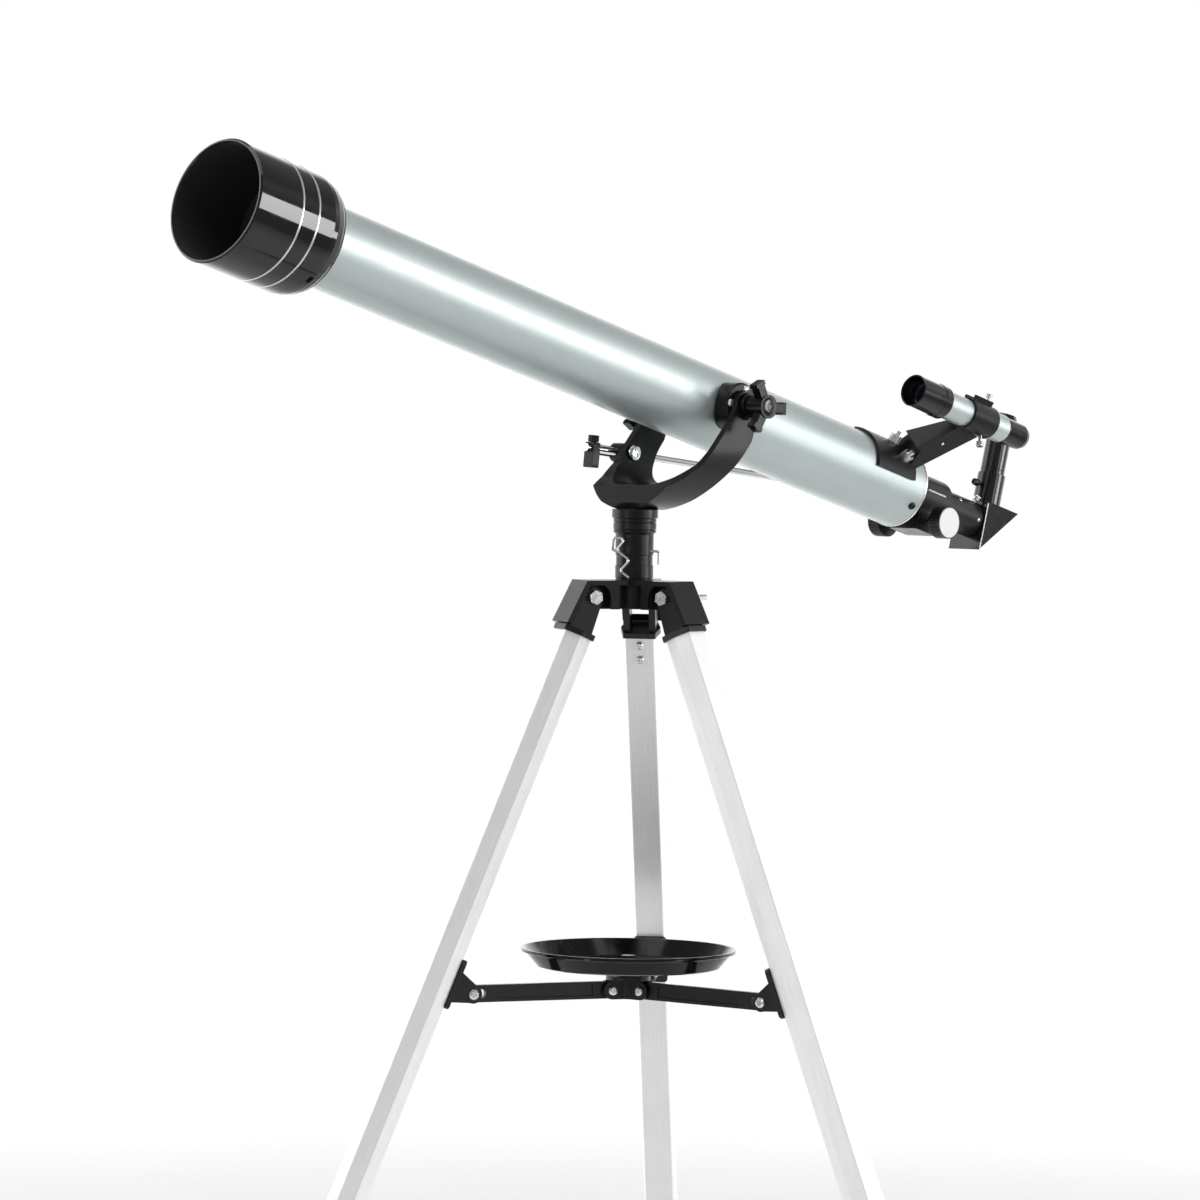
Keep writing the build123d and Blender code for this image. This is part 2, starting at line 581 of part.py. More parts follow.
def dew_shield():
    """Wide hood in front of the objective, closed by a rounded shoulder on the lens cell."""
    cell = TUBE_FRONT
    radius = SHADE_RADIUS
    bore = 33.05
    return turned_along_y(
        (bore, cell - 3), (38.5, cell - 3), (41.8, cell - 5.5), (44.2, cell - 10), (45.5, cell - 15.5),
        (radius, cell - 20), (radius, SHADE_FRONT + 1.2), (radius - 0.9, SHADE_FRONT),
        (radius - 2.2, SHADE_FRONT), (radius - 2.8, SHADE_FRONT + 1.5), (radius - 2.8, cell - 28),
        (40, cell - 22.6), (bore, cell - 22.6),
    )


def focuser_body():
    back = TUBE_BACK
    barrel = turned_along_y(
        (DRAWTUBE_RADIUS + 0.1, back - 14), (TUBE_BORE - 0.02, back - 14), (TUBE_BORE - 0.02, back - 1),
        (20.5, back - 1), (20.5, back + 1), (19, back + 4), (19, BARREL_BACK - 1),
        (18, BARREL_BACK), (DRAWTUBE_RADIUS + 0.1, BARREL_BACK),
    )
    y, z = PINION_Y, PINION_Z
    housing = block((-15, 15), (y - 12, y + 12), (z - 8.5, z + 10))
    housing = fillet(housing.edges().filter_by(Axis.Z), 2.5)
    housing -= bar(DRAWTUBE_RADIUS + 0.1, (0, back - 20, 0), (0, BARREL_BACK + 10, 0))
    body = barrel + housing
    body -= block((-3.4, 3.4), (back - 20, BARREL_BACK + 5), (-16.8, -12))
    body -= bar(6.2, (-4.4, y, z), (4.4, y, z))
    return body - bar(2 + FIT, (-20, y, z), (20, y, z))


def focuser_screws():
    """Three screws through the tube into the focuser's plug."""
    screws = [on_tube(turn, SCREW_Y) * pan_screw(3.2, 1.9, 1.5, 0.9) for turn in SCREW_TURNS]
    return together(*screws)


def rack():
    """Rack along the underside of the drawtube, set so that a space faces the pinion."""
    pitch_line = PINION_Z + PINION_PITCH_RADIUS
    root = pitch_line + DEDENDUM
    tip = pitch_line - ADDENDUM
    half_root, half_tip = TOOTH_WIDTH / 2 + 0.22, TOOTH_WIDTH / 2 - 0.2
    strip = block((-3, 3), (PINION_Y - 37, PINION_Y + 33), (root, -13.6))
    for step in range(-14, 13):
        y = PINION_Y + (step + 0.5) * TOOTH_PITCH
        outline = [(y - half_root, root), (y - half_tip, tip), (y + half_tip, tip), (y + half_root, root)]
        strip += plate_x(outline, (-3, 3))
    return strip


def drawtube():
    tube = turned_along_y(
        (DRAWTUBE_BORE, DRAWTUBE_FRONT), (DRAWTUBE_RADIUS, DRAWTUBE_FRONT),
        (DRAWTUBE_RADIUS, DRAWTUBE_BACK), (DRAWTUBE_BORE, DRAWTUBE_BACK),
    )
    hollow = bar(DRAWTUBE_BORE, (0, DRAWTUBE_FRONT, 0), (0, DRAWTUBE_BACK, 0))
    return tube + (rack() - hollow)


def focus_pinion():
    """Pinion and its shaft, with one tooth pointing up into the rack."""
    root = PINION_PITCH_RADIUS - DEDENDUM
    tip = PINION_PITCH_RADIUS + ADDENDUM
    half_root, half_tip = TOOTH_WIDTH / 2 + 0.15, TOOTH_WIDTH / 2 - 0.22
    gear = bar(root, (-3, 0, 0), (3, 0, 0))
    for tooth in range(PINION_TEETH):
        outline = [(-half_root, root - 0.3), (-half_tip, tip), (half_tip, tip), (half_root, root - 0.3)]
        gear += Rot(360 * tooth / PINION_TEETH, 0, 0) * plate_x(outline, (-3, 3))
    return Pos(0, PINION_Y, PINION_Z) * (gear + bar(2, (-PINION_SHAFT, 0, 0), (PINION_SHAFT, 0, 0)))


def focus_knobs():
    grip = knurled(FOCUS_KNOB_RADIUS, 9, 30, 0.55)
    grip += Pos(0, 0, 9) * Cylinder(FOCUS_KNOB_RADIUS, 2, align=LOW)
    grip += Pos(0, 0, -5) * Cylinder(8, 5, align=LOW)
    grip -= Pos(0, 0, -5) * Cylinder(2, 14, align=LOW)
    right = Pos(FOCUS_KNOB_X, PINION_Y, PINION_Z) * Rot(0, 90, 0) * grip
    return together(right, mirror(right, Plane.YZ))


def diagonal_outline(inset):
    """The (y, z) corners of the right-angled prism housing, moved in by an inset."""
    front = DIAGONAL_FRONT + inset
    top = DIAGONAL_TOP - inset
    slant = inset * 2.42
    return [(front, top), (front, DIAGONAL_BOTTOM + slant), (DIAGONAL_BACK - slant, top)]


def diagonal_body():
    width = DIAGONAL_HALF_WIDTH
    housing = plate_x(diagonal_outline(0), (-width, width))
    housing -= plate_x(diagonal_outline(2), (-width + 2, width - 2))
    housing += bar(DRAWTUBE_BORE - 0.1, (0, DIAGONAL_FRONT - 16, 0), (0, DIAGONAL_FRONT, 0))
    housing -= bar(11, (0, DIAGONAL_FRONT - 20, 0), (0, DIAGONAL_FRONT + 2, 0))
    socket = bar(11.4, (0, EYE_Y, DIAGONAL_TOP - 1), (0, EYE_Y, SOCKET_TOP))
    socket -= bar(ERECTOR_RADIUS + 0.1, (0, EYE_Y, DIAGONAL_TOP), (0, EYE_Y, SOCKET_TOP))
    return housing + socket - bar(8.5, (0, EYE_Y, DIAGONAL_TOP - 2), (0, EYE_Y, SOCKET_TOP))


def erecting_tube():
    low = DIAGONAL_TOP + 3
    tube = turned((7.4, low), (10, low), (10, ERECTOR_TOP), (8.6, ERECTOR_TOP), (8.6, 55), (7.4, 55))
    tube -= Pos(0, 0, SOCKET_TOP + 3) * turned((9.6, 0), (11, 0), (11, 0.8), (9.6, 0.8))
    return Pos(0, EYE_Y, 0) * tube


def eyepiece():
    seat = ERECTOR_TOP + 0.3
    top = EYEPIECE_TOP
    shell = turned(
        (0, 62), (8.5, 62), (8.5, seat), (11.8, seat), (12.6, seat + 2), (12.6, top - 4), (11, top),
        (7.5, top), (5.5, top - 3), (0, top - 3),
    )
    return Pos(0, EYE_Y, 0) * shell


# ---------------------------------------------------------------- finder
def along_finder(shape):
    return Pos(FINDER_X, 0, FINDER_Z) * shape


def finder_bracket():
    """Curved foot on the tube, a stalk leaning back, and the ring that holds the finder."""
    foot_plate = turned_along_y(
        (TUBE_RADIUS, 176), (33.6, 176), (33.6, 222), (TUBE_RADIUS, 222)
    )
    wedge = plate_y([(0, 0), (80, -80 * 0.94), (120, 0), (80, 80 * 0.94)], (170, 230))
    patch = foot_plate & wedge
    stalk = loft([Pos(0, 209, 28) * Rectangle(27, 27), Pos(0, 252, 76) * Rectangle(10, 26)])
    stalk -= block((-20, 20), (190, 216), (20, 45))
    ring = turned_along_y((11.9, 235.7), (13.2, 235.7), (13.2, 265.6), (11.9, 265.6))
    fin = block((-1, 1), (240, 262), (12.5, 17))
    ring += [Rot(0, turn, 0) * fin for turn in (-18, 18)]
    bracket = Rot(0, -FINDER_ANGLE, 0) * patch + Rot(0, 90 - FINDER_ANGLE, 0) * stalk
    bracket -= along_finder(bar(11.9, (0, 225, 0), (0, 290, 0)))
    bracket -= bar(TUBE_RADIUS, (0, 160, 0), (0, 240, 0))
    bracket += along_finder(ring)
    for turn in FINDER_SCREW_TURNS:
        place = Pos(FINDER_X, FINDER_SCREW_Y, FINDER_Z) * Rot(0, 90 - turn, 0)
        bracket -= place * Cylinder(1.4, 20, align=LOW)
    return bracket


def finder_tube():
    shape = turned_along_y(
        (10.2, 200), (FINDER_RADIUS, 200), (FINDER_RADIUS, 282), (10.6, 283), (8.4, 283), (8.4, 264),
        (10.2, 262),
    )
    return along_finder(shape)


def finder_front_cell():
    shape = turned_along_y(
        (10.3, 182), (11.6, 180), (11.6, 171.8), (12.2, 171.2), (12.8, 171.8), (12.9, 198),
        (13.4, 198.8), (13.4, 206.3), (FINDER_RADIUS + 0.02, 206.3), (FINDER_RADIUS + 0.02, 199.9),
        (10.3, 199.9),
    )
    return along_finder(shape)


def finder_eyepiece():
    shape = turned_along_y(
        (0, 268), (8.3, 268), (8.3, 283.3), (9.8, 283.3), (10.4, 284.5), (10.4, 305.5), (9.3, 309), (6, 309),
        (4.6, 306.5), (0, 306.5),
    )
    return along_finder(shape)


def finder_lenses():
    objective = turned_along_y((0, 184.5), (10.25, 186), (10.25, 189), (0, 189))
    field = turned_along_y((0, 265), (8.3, 265.6), (8.3, 267), (0, 267))
    return together(along_finder(objective), along_finder(field))


def finder_screws():
    """Three adjusting screws round the ring and two knurled nuts on the foot's studs."""
    pieces = []
    for turn in FINDER_SCREW_TURNS:
        place = Pos(FINDER_X, FINDER_SCREW_Y, FINDER_Z) * Rot(0, 90 - turn, 0)
        screw = Pos(0, 0, FINDER_RADIUS) * Cylinder(1.4, 8, align=LOW)
        screw += Pos(0, 0, 18) * knurled(2.9, 4, 12, 0.35)
        pieces.append(place * screw)
    for side in (-1, 1):
        place = on_tube(FINDER_ANGLE + 16.8 * side, 208, 33.6)
        pieces.append(place * (knurled(4.8, 6.5, 18, 0.45) + Cylinder(2, 10, align=LOW)))
    return together(*pieces)


def build_optics():
    makers = (
        main_tube, altitude_bosses, rod_bracket, lens_cell, objective_lenses, dew_shield, focuser_body,
        focuser_screws, drawtube, focus_pinion, focus_knobs, diagonal_body, erecting_tube, eyepiece,
        finder_bracket, finder_tube, finder_front_cell, finder_eyepiece, finder_lenses, finder_screws,
    )
    frame = tube_frame()
    for maker in makers:
        nodes[maker.__name__] = frame * maker()
    prism = plate_x(diagonal_outline(2.05), (-DIAGONAL_HALF_WIDTH + 2.05, DIAGONAL_HALF_WIDTH - 2.05))
    nodes["diagonal_prism"] = frame * prism


build_tripod()
build_yoke()
build_optics()

for name, shape in nodes.items():
    export_step(Pos(AXIS_X, AXIS_Y, 0) * shape, f"parts/{name}.step")
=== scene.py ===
import json
from math import cos, pi, radians, sin

import bmesh
import bpy
from mathutils import Matrix, Vector


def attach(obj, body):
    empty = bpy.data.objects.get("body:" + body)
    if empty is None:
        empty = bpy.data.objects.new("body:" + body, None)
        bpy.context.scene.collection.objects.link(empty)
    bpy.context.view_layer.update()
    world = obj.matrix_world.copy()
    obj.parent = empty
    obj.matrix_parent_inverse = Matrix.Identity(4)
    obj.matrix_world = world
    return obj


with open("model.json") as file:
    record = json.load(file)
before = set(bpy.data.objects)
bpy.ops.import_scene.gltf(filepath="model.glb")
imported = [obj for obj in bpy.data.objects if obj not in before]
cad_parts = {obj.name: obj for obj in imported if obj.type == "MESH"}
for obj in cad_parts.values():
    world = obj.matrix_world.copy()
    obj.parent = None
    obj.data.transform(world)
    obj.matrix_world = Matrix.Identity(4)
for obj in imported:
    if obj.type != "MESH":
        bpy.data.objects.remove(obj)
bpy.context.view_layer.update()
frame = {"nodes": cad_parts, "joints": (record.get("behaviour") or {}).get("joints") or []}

MM = 0.001
nodes = frame["nodes"]
joints = {j["name"]: j for j in frame["joints"]}
scene = bpy.context.scene


# ---------------------------------------------------------------- frames of the CAD model
def frame_at(origin, y_axis, x_hint=(1, 0, 0)):
    """A frame in millimetres with its origin on a CAD point and +Y along a CAD direction."""
    y = Vector(y_axis).normalized()
    z = Vector(x_hint).cross(y).normalized()
    x = y.cross(z)
    turn = Matrix((x, y, z)).transposed().to_4x4()
    return Matrix.Translation(Vector(origin)) @ turn @ Matrix.Scale(MM, 4)


def extent(node, matrix):
    """Lowest and highest corner of a CAD node in a local frame, in that frame's millimetres."""
    inverse = matrix.inverted()
    points = [inverse @ v.co for v in nodes[node].data.vertices]
    low = Vector([min(p[i] for p in points) for i in range(3)])
    high = Vector([max(p[i] for p in points) for i in range(3)])
    return low, high


TUBE = frame_at(joints["altitude"]["pos_m"], joints["focus"]["axis"])
ROD = frame_at(joints["rod_swivel"]["pos_m"], joints["rod_slide"]["axis"])
COLUMN = Matrix.Translation(Vector(joints["azimuth"]["pos_m"])) @ Matrix.Scale(MM, 4)
YOKE = Matrix.Translation(Vector(joints["altitude"]["pos_m"])) @ Matrix.Scale(MM, 4)
LEGS = {}
for letter in "abc":
    fold = joints[f"leg_{letter}_fold"]
    down = Vector(joints[f"leg_{letter}_extension"]["axis"])
    LEGS[letter] = frame_at(fold["pos_m"], down, fold["axis"])


# ---------------------------------------------------------------- camera
CAMERA_AT = (2.8034, -3.0155, 0.7803)
CAMERA_HEADING = 43.9
CAMERA_DIP = 2.02
CAMERA_ROLL = 0.85
CAMERA_LENS = 164.2

camera = bpy.data.objects.new("camera", bpy.data.cameras.new("camera"))
scene.collection.objects.link(camera)
scene.camera = camera
camera.data.lens = CAMERA_LENS
camera.data.sensor_width = 36.0
camera.data.clip_start = 0.05
camera.data.clip_end = 200.0
camera.matrix_world = (
    Matrix.Translation(CAMERA_AT)
    @ Matrix.Rotation(radians(CAMERA_HEADING), 4, "Z")
    @ Matrix.Rotation(radians(90 - CAMERA_DIP), 4, "X")
    @ Matrix.Rotation(radians(CAMERA_ROLL), 4, "Z")
)


# ---------------------------------------------------------------- shader helpers
RAMP_SOCKETS = ("From Min", "From Max", "To Min", "To Max")
INNER_BLACK = (0.022, 0.022, 0.024, 1)      # the blackened inside of the dew shield
TUBE_BLACKING = (0.013, 0.013, 0.015, 1)    # the blackened inside of a painted tube
INNER_ROUGHNESS = 0.75


class Shader:
    """A Principled material and short ways to add nodes to it."""

    def __init__(self, name):
        self.material = bpy.data.materials.new(name)
        self.material.use_nodes = True
        self.tree = self.material.node_tree
        self.bsdf = self.tree.nodes["Principled BSDF"]
        self.coords = self.tree.nodes.new("ShaderNodeTexCoord").outputs["Object"]

    def link(self, value, socket):
        if isinstance(value, bpy.types.NodeSocket):
            self.tree.links.new(value, socket)
        else:
            socket.default_value = value

    def math(self, operation, a, b=0.0, clamp=False):
        node = self.tree.nodes.new("ShaderNodeMath")
        node.operation = operation
        node.use_clamp = clamp
        self.link(a, node.inputs[0])
        self.link(b, node.inputs[1])
        return node.outputs[0]

    def vector(self, operation, a, b=(0, 0, 0), scale=None):
        node = self.tree.nodes.new("ShaderNodeVectorMath")
        node.operation = operation
        self.link(a, node.inputs[0])
        self.link(b, node.inputs[1])
        if scale is not None:
            self.link(scale, node.inputs["Scale"])
        return node.outputs["Value" if operation in ("DOT_PRODUCT", "LENGTH") else "Vector"]

    def ramp(self, value, low, high, to_low=0.0, to_high=1.0):
        node = self.tree.nodes.new("ShaderNodeMapRange")
        self.link(value, node.inputs["Value"])
        for socket, number in zip(RAMP_SOCKETS, (low, high, to_low, to_high)):
            node.inputs[socket].default_value = number
        return node.outputs["Result"]

    def noise(self, coords, scale, detail=3.0, rough=0.55):
        node = self.tree.nodes.new("ShaderNodeTexNoise")
        self.link(coords, node.inputs["Vector"])
        node.inputs["Scale"].default_value = scale
        node.inputs["Detail"].default_value = detail
        node.inputs["Roughness"].default_value = rough
        return node.outputs["Fac"]

    def cells(self, coords, scale):
        node = self.tree.nodes.new("ShaderNodeTexVoronoi")
        self.link(coords, node.inputs["Vector"])
        node.inputs["Scale"].default_value = scale
        return node.outputs["Color"]

    def mix(self, factor, a, b):
        node = self.tree.nodes.new("ShaderNodeMix")
        node.data_type = "RGBA"
        self.link(factor, node.inputs["Factor"])
        self.link(a, node.inputs["A"])
        self.link(b, node.inputs["B"])
        return node.outputs["Result"]

    def along(self, matrix, stretch):
        """Coordinates in a local frame, squeezed along its axes by the given factors."""
        turn = matrix.to_3x3().normalized().transposed()
        node = self.tree.nodes.new("ShaderNodeCombineXYZ")
        for i in range(3):
            row = tuple(turn[i][k] * stretch[i] for k in range(3))
            self.link(self.vector("DOT_PRODUCT", self.coords, row), node.inputs[i])
        return node.outputs[0]

    def radius(self, matrix):
        """Distance in metres from a local frame's Y axis."""
        turn = matrix.to_3x3().normalized().transposed()
        offset = self.vector("SUBTRACT", self.coords, tuple(matrix.translation))
        x = self.vector("DOT_PRODUCT", offset, tuple(turn[0]))
        z = self.vector("DOT_PRODUCT", offset, tuple(turn[2]))
        return self.math("SQRT", self.math("ADD", self.math("MULTIPLY", x, x), self.math("MULTIPLY", z, z)))

    def edge(self, radius):
        """The rounded normal, and how strongly a point lies on an outer or inner edge."""
        node = self.tree.nodes.new("ShaderNodeBevel")
        node.samples = 4
        node.inputs["Radius"].default_value = radius
        flat = self.tree.nodes.new("ShaderNodeNewGeometry").outputs["Normal"]
        turned = self.vector("DOT_PRODUCT", node.outputs["Normal"], flat)
        return node.outputs["Normal"], self.ramp(turned, 0.98, 0.75)

    def bump(self, height, strength, distance, normal=None):
        node = self.tree.nodes.new("ShaderNodeBump")
        node.inputs["Strength"].default_value = strength
        node.inputs["Distance"].default_value = distance
        self.link(height, node.inputs["Height"])
        if normal is not None:
            self.link(normal, node.inputs["Normal"])
        self.link(node.outputs["Normal"], self.bsdf.inputs["Normal"])


def finish_material(
    name, color, metallic, roughness, *, coat=0.0, mottle=0.06, mottle_scale=35.0, grain_scale=1500.0,
    grain=0.1, rough_spread=0.05, stretch=None, bevel=0.0004,
    inside=None, specular=0.5,
):
    """One finish: a base colour with faint variation, smudged roughness, fine grain and soft edges.

    stretch is a frame and its squeeze factors for brushed metal; inside is a frame and a radius
    within which a tube is matt black."""
    s = Shader(name)
    fine = s.along(*stretch) if stretch else s.coords
    shade = s.ramp(s.noise(s.coords, mottle_scale, 4.0), 0.3, 0.7, 1 - mottle, 1 + mottle)
    streak = s.noise(fine, grain_scale, 2.0)
    if stretch:
        shade = s.math("MULTIPLY", shade, s.ramp(streak, 0.25, 0.75, 0.94, 1.05))
    tone = s.vector("SCALE", tuple(color), scale=shade)
    smudge = s.noise(s.coords, mottle_scale * 2.3, 5.0, 0.65)
    rough = s.ramp(smudge, 0.3, 0.7, roughness - rough_spread, roughness + rough_spread)
    normal, on_edge = s.edge(bevel)
    s.bsdf.inputs["Metallic"].default_value = metallic
    if inside:
        hidden = s.ramp(s.radius(inside[0]), inside[1] * MM, (inside[1] - 0.2) * MM)
        shown = s.math("SUBTRACT", 1.0, hidden)
        tone = s.mix(hidden, tone, INNER_BLACK)
        inner_rough = s.math("MULTIPLY", hidden, INNER_ROUGHNESS)
        rough = s.math("ADD", s.math("MULTIPLY", rough, shown), inner_rough)
        if metallic:
            s.link(s.math("MULTIPLY", shown, metallic), s.bsdf.inputs["Metallic"])
    s.link(tone, s.bsdf.inputs["Base Color"])
    s.link(rough, s.bsdf.inputs["Roughness"])
    s.bsdf.inputs["Specular IOR Level"].default_value = specular
    s.bsdf.inputs["Coat Weight"].default_value = coat
    s.bsdf.inputs["Coat Roughness"].default_value = 0.05
    s.bump(streak, grain, 0.00005, normal)
    return s.material


def silver_paint(name, inside=None):
    """Metallic paint: fine flakes of slightly different tone in a cool silver ground."""
    s = Shader(name)
    flakes = s.cells(s.coords, 2600.0)
    split = s.tree.nodes.new("ShaderNodeSeparateColor")
    s.link(flakes, split.inputs[0])
    flake = s.ramp(split.outputs[0], 0.0, 1.0, 0.93, 1.06)
    cloud = s.ramp(s.noise(s.coords, 14.0, 3.0), 0.3, 0.7, 0.975, 1.02)
    tone = s.vector("SCALE", (0.50, 0.56, 0.555), scale=s.math("MULTIPLY", flake, cloud))
    rough = s.ramp(s.noise(s.coords, 60.0, 5.0, 0.6), 0.3, 0.7, 0.44, 0.52)
    metal = 0.82
    s.bsdf.inputs["Metallic"].default_value = metal
    if inside:
        hidden = s.ramp(s.radius(inside[0]), inside[1] * MM, (inside[1] - 0.15) * MM)
        tone = s.mix(hidden, tone, TUBE_BLACKING)
        s.link(s.math("MULTIPLY", s.math("SUBTRACT", 1.0, hidden), metal), s.bsdf.inputs["Metallic"])
    s.link(tone, s.bsdf.inputs["Base Color"])
    s.link(rough, s.bsdf.inputs["Roughness"])
    s.bsdf.inputs["Coat Weight"].default_value = 0.25
    s.bsdf.inputs["Coat Roughness"].default_value = 0.12
    s.bump(split.outputs[1], 0.08, 0.00003)
    return s.material


def lens_glass(name, tint):
    """Coated glass: clear, with a faint tint and fine dust in its roughness."""
    s = Shader(name)
    dust = s.noise(s.coords, 900.0, 4.0)
    haze = s.ramp(dust, 0.45, 0.75, 0.0, 0.12)
    s.link(s.mix(haze, (*tint, 1), (1, 1, 1, 1)), s.bsdf.inputs["Base Color"])
    s.link(s.ramp(dust, 0.35, 0.8, 0.01, 0.06), s.bsdf.inputs["Roughness"])
    s.bsdf.inputs["Transmission Weight"].default_value = 1.0
    s.bsdf.inputs["IOR"].default_value = 1.52
    s.bsdf.inputs["Coat Weight"].default_value = 0.6
    s.bsdf.inputs["Coat Tint"].default_value = (0.75, 0.7, 1.0, 1.0)
    return s.material


paint = silver_paint("silver_paint", inside=(TUBE, 30.6))
finder_low, finder_high = extent("finder_tube", TUBE)
finder_axis = TUBE @ Vector(((finder_low.x + finder_high.x) / 2, 0, (finder_low.z + finder_high.z) / 2))
FINDER = frame_at(finder_axis, joints["focus"]["axis"])
finder_paint = silver_paint("finder_silver", inside=(FINDER, 9.0))
shade_black = finish_material(
    "gloss_black_shade", (0.004, 0.0042, 0.0046), 0.0, 0.07, mottle_scale=50, rough_spread=0.03, grain=0.01,
    bevel=0.0005, inside=(TUBE, 43.3),
)
gloss_black = finish_material(
    "gloss_black", (0.004, 0.0042, 0.0046), 0.0, 0.13, mottle_scale=50, rough_spread=0.04, grain=0.02,
    bevel=0.0005, specular=0.24,
)
tube_black = finish_material(
    "tube_black", (0.005, 0.0052, 0.0058), 0.0, 0.17, mottle_scale=50, rough_spread=0.03, grain=0.03,
    bevel=0.0005,
)
black_steel = finish_material(
    "black_steel", (0.02, 0.02, 0.021), 0.6, 0.35, mottle_scale=90, grain=0.1, bevel=0.0003,
)
ring_metal = finish_material(
    "ring_metal", (0.62, 0.63, 0.63), 1.0, 0.25, mottle=0.05, grain_scale=1800, grain=0.1, bevel=0.0002,
)
cast_black = finish_material(
    "cast_black", (0.0062, 0.0064, 0.007), 0.0, 0.34, mottle=0.1, mottle_scale=60, grain_scale=1400,
    grain=0.1, rough_spread=0.04, bevel=0.0008, specular=0.26,
)
moulded_black = finish_material(
    "moulded_black", (0.0085, 0.0087, 0.0093), 0.0, 0.36, mottle=0.1, grain_scale=2200, grain=0.12,
    rough_spread=0.05, bevel=0.0005, specular=0.36,
)
matt_black = finish_material(
    "matt_black", (0.009, 0.009, 0.0095), 0.0, 0.6, mottle=0.1, grain_scale=2600, grain=0.3, bevel=0.0003,
)
steel = finish_material(
    "zinc_steel", (0.74, 0.74, 0.73), 1.0, 0.24, mottle=0.08, mottle_scale=120, grain_scale=1800,
    grain=0.12, rough_spread=0.08, bevel=0.0003,
)
chrome = finish_material(
    "chrome", (0.8, 0.8, 0.8), 1.0, 0.1, mottle=0.03, mottle_scale=60, grain_scale=1400, grain=0.03,
    rough_spread=0.04, bevel=0.0003, stretch=(ROD, (1, 0.05, 1)),
)
bare_metal = finish_material(
    "bare_aluminium", (0.86, 0.87, 0.87), 1.0, 0.25, mottle=0.05, grain_scale=1800, grain=0.1, bevel=0.0002,
)
brass = finish_material(
    "brass", (0.62, 0.42, 0.14), 1.0, 0.3, mottle=0.1, mottle_scale=90, grain_scale=1200, grain=0.15,
    bevel=0.0002,
)
rubber = finish_material(
    "rubber", (0.014, 0.014, 0.014), 0.0, 0.78, mottle=0.2, mottle_scale=60, grain_scale=1400, grain=0.5,
    bevel=0.0008,
)
white_face = finish_material(
    "white_face", (0.8, 0.8, 0.8), 0.0, 0.35, mottle=0.03, grain_scale=1500, grain=0.1, bevel=0.0003,
)
glass = lens_glass("lens_glass", (0.86, 0.92, 0.95))
leg_metal = {
    letter: finish_material(
        f"satin_aluminium_{letter}", (0.91, 0.914, 0.922), 0.33, 0.42, mottle=0.025, mottle_scale=22,
        grain_scale=1300, grain=0.16, rough_spread=0.05, stretch=(matrix, (1, 0.02, 1)), bevel=0.0006,
    )
    for letter, matrix in LEGS.items()
}

NODE_MATERIALS = {
    paint: ["main_tube"],
    finder_paint: ["finder_tube"],
    shade_black: ["dew_shield"],
    gloss_black: ["accessory_tray", "lens_cell", "altitude_knob_left", "altitude_knob_right"],
    cast_black: [
        "tripod_head", "yoke", "rod_swivel_clamp", "rod_bracket", "altitude_bosses", "finder_bracket",
    ],
    chrome: ["slow_motion_rod"],
    tube_black: ["erecting_tube", "diagonal_body", "eyepiece", "finder_front_cell", "finder_eyepiece"],
    black_steel: ["focuser_screws"],
    steel: [
        "retaining_clip", "brace_hub_pins", "finder_screws",
        "leg_fasteners_a", "leg_fasteners_b", "leg_fasteners_c",
    ],
    brass: ["focus_pinion"],
    glass: ["objective_lenses", "diagonal_prism", "finder_lenses"],
    rubber: ["foot_a", "foot_b", "foot_c"],
    moulded_black: [
        "drawtube", "focuser_body", "focus_knobs", "rod_clamp_screw", "brace_hub", "tray_screw",
    ] + [
        f"{part}_{letter}" for letter in "abc"
        for part in ("leg_clevis", "brace_bracket", "leg_collar", "leg_lock_screw", "brace_arm")
    ],
}
for material, names in NODE_MATERIALS.items():
    for name in names:
        nodes[name].data.materials.clear()
        nodes[name].data.materials.append(material)
for letter in "abc":
    for name in (f"upper_leg_{letter}", f"lower_leg_{letter}"):
        nodes[name].data.materials.clear()
        nodes[name].data.materials.append(leg_metal[letter])


# ---------------------------------------------------------------- mesh helpers
def add_piece(name, mesh, matrix, material, body, smooth=35.0):
    """A mesh drawn in a local frame becomes a piece that rides on a CAD body."""
    mesh.transform(matrix)
    mesh.materials.append(material)
    mesh.shade_smooth()
    mesh.set_sharp_from_angle(angle=radians(smooth))
    piece = bpy.data.objects.new(name, mesh)
    scene.collection.objects.link(piece)
    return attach(piece, body)


def finish_mesh(name, bm):
    bmesh.ops.remove_doubles(bm, verts=bm.verts, dist=1e-4)
    bmesh.ops.recalc_face_normals(bm, faces=bm.faces)
    mesh = bpy.data.meshes.new(name)
    bm.to_mesh(mesh)
    bm.free()
    return mesh


def lathe(name, profile, segments=64, place=Matrix.Identity(4), closed=True):
    """A turned shape about the local Y axis, from an outline of (radius, y) points."""
    bm = bmesh.new()
    rings = []
    for i in range(segments):
        angle = 2 * pi * i / segments
        around = [Vector((r * cos(angle), y, r * sin(angle))) for r, y in profile]
        rings.append([bm.verts.new(place @ point) for point in around])
    count = len(profile)
    for i in range(segments):
        here, there = rings[i], rings[(i + 1) % segments]
        for k in range(count if closed else count - 1):
            corners = [here[k], here[(k + 1) % count], there[(k + 1) % count], there[k]]
            bm.faces.new(corners)
    return finish_mesh(name, bm)


def carve(mesh, cutters):
    """The mesh with prisms cut out of it, by exact boolean."""
    body = bpy.data.objects.new("carved", mesh)
    scene.collection.objects.link(body)
    made = []
    for cutter in cutters:
        tool = bpy.data.objects.new("cutter", cutter)
        scene.collection.objects.link(tool)
        modifier = body.modifiers.new("cut", "BOOLEAN")
        modifier.operation = "DIFFERENCE"
        modifier.solver = "EXACT"
        modifier.object = tool
        made.append(tool)
    result = bpy.data.meshes.new_from_object(body.evaluated_get(bpy.context.evaluated_depsgraph_get()))
    for extra in [body, *made]:
        bpy.data.objects.remove(extra)
    return result


